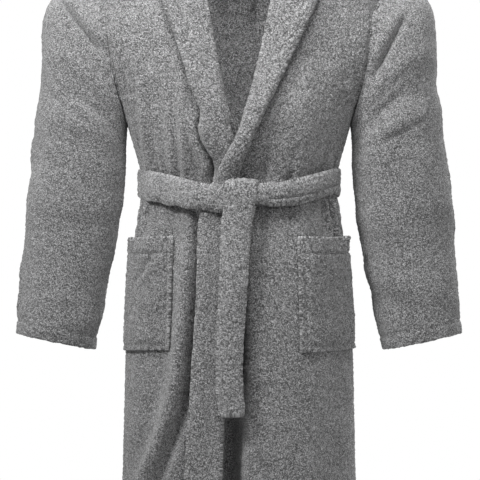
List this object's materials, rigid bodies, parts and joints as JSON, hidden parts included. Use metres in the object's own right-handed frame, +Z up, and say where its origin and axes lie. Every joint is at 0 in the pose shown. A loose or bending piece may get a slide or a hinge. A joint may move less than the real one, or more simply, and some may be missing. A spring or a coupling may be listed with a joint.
{
  "type": "bathrobe",
  "caption": "Terry bathrobe with shawl collar, patch pockets and wide sleeves, tied at the waist with a knotted cloth belt.",
  "frame": {"origin": "midway between the two points where the shoulder seams meet the neck, inside the neck opening", "axes": "+Z up along the robe's length, -Y out of its front, +X towards the wearer's left"},
  "size_m": [0.808, 0.3196, 1.24],
  "materials": {
    "terry": "looped cotton pile, grey, matt",
    "terry_hem": "turned and stitched looped cotton, grey, matt",
    "tape": "plain woven cotton tape, grey, matt"
  },
  "bodies": {
    "robe": {"back_panel": "terry", "front_panel_left": "terry", "front_panel_right": "terry", "shawl_collar_left": "terry", "shawl_collar_right": "terry", "front_band_left": "terry", "front_band_right": "terry", "pocket_left": "terry", "pocket_right": "terry", "belt_waist": "terry", "belt_knot": "terry", "pocket_hem_left": "terry_hem", "pocket_hem_right": "terry_hem", "hem_back": "terry_hem", "hem_left": "terry_hem", "hem_right": "terry_hem", "belt_loop_left": "terry_hem", "belt_loop_right": "terry_hem", "neck_tape": "tape"},
    "sleeve_left": {"sleeve_left": "terry", "cuff_hem_left": "terry_hem"},
    "sleeve_right": {"sleeve_right": "terry", "cuff_hem_right": "terry_hem"},
    "belt_tails": {"belt_tail_front": "terry", "belt_tail_rear": "terry"},
    "hanger": {"hanger_loop": "tape"}
  },
  "joints": [
    {"name": "sleeve_left_raise", "type": "hinge", "parent": "robe", "child": "sleeve_left", "pos_m": [0.281, 0, -0.0575], "axis": [0, -1, 0], "range_deg": [0, 70]},
    {"name": "sleeve_right_raise", "type": "hinge", "parent": "robe", "child": "sleeve_right", "pos_m": [-0.281, 0, -0.0575], "axis": [0, 1, 0], "range_deg": [0, 70]},
    {"name": "belt_tails_swing", "type": "hinge", "parent": "robe", "child": "belt_tails", "pos_m": [0.004, -0.159, -0.4843], "axis": [-1, 0, 0], "range_deg": [0, 40]},
    {"name": "hanger_flip", "type": "hinge", "parent": "robe", "child": "hanger", "pos_m": [0, 0.0575, -0.0318], "axis": [-1, 0, 0], "range_deg": [0, 145]}
  ]
}
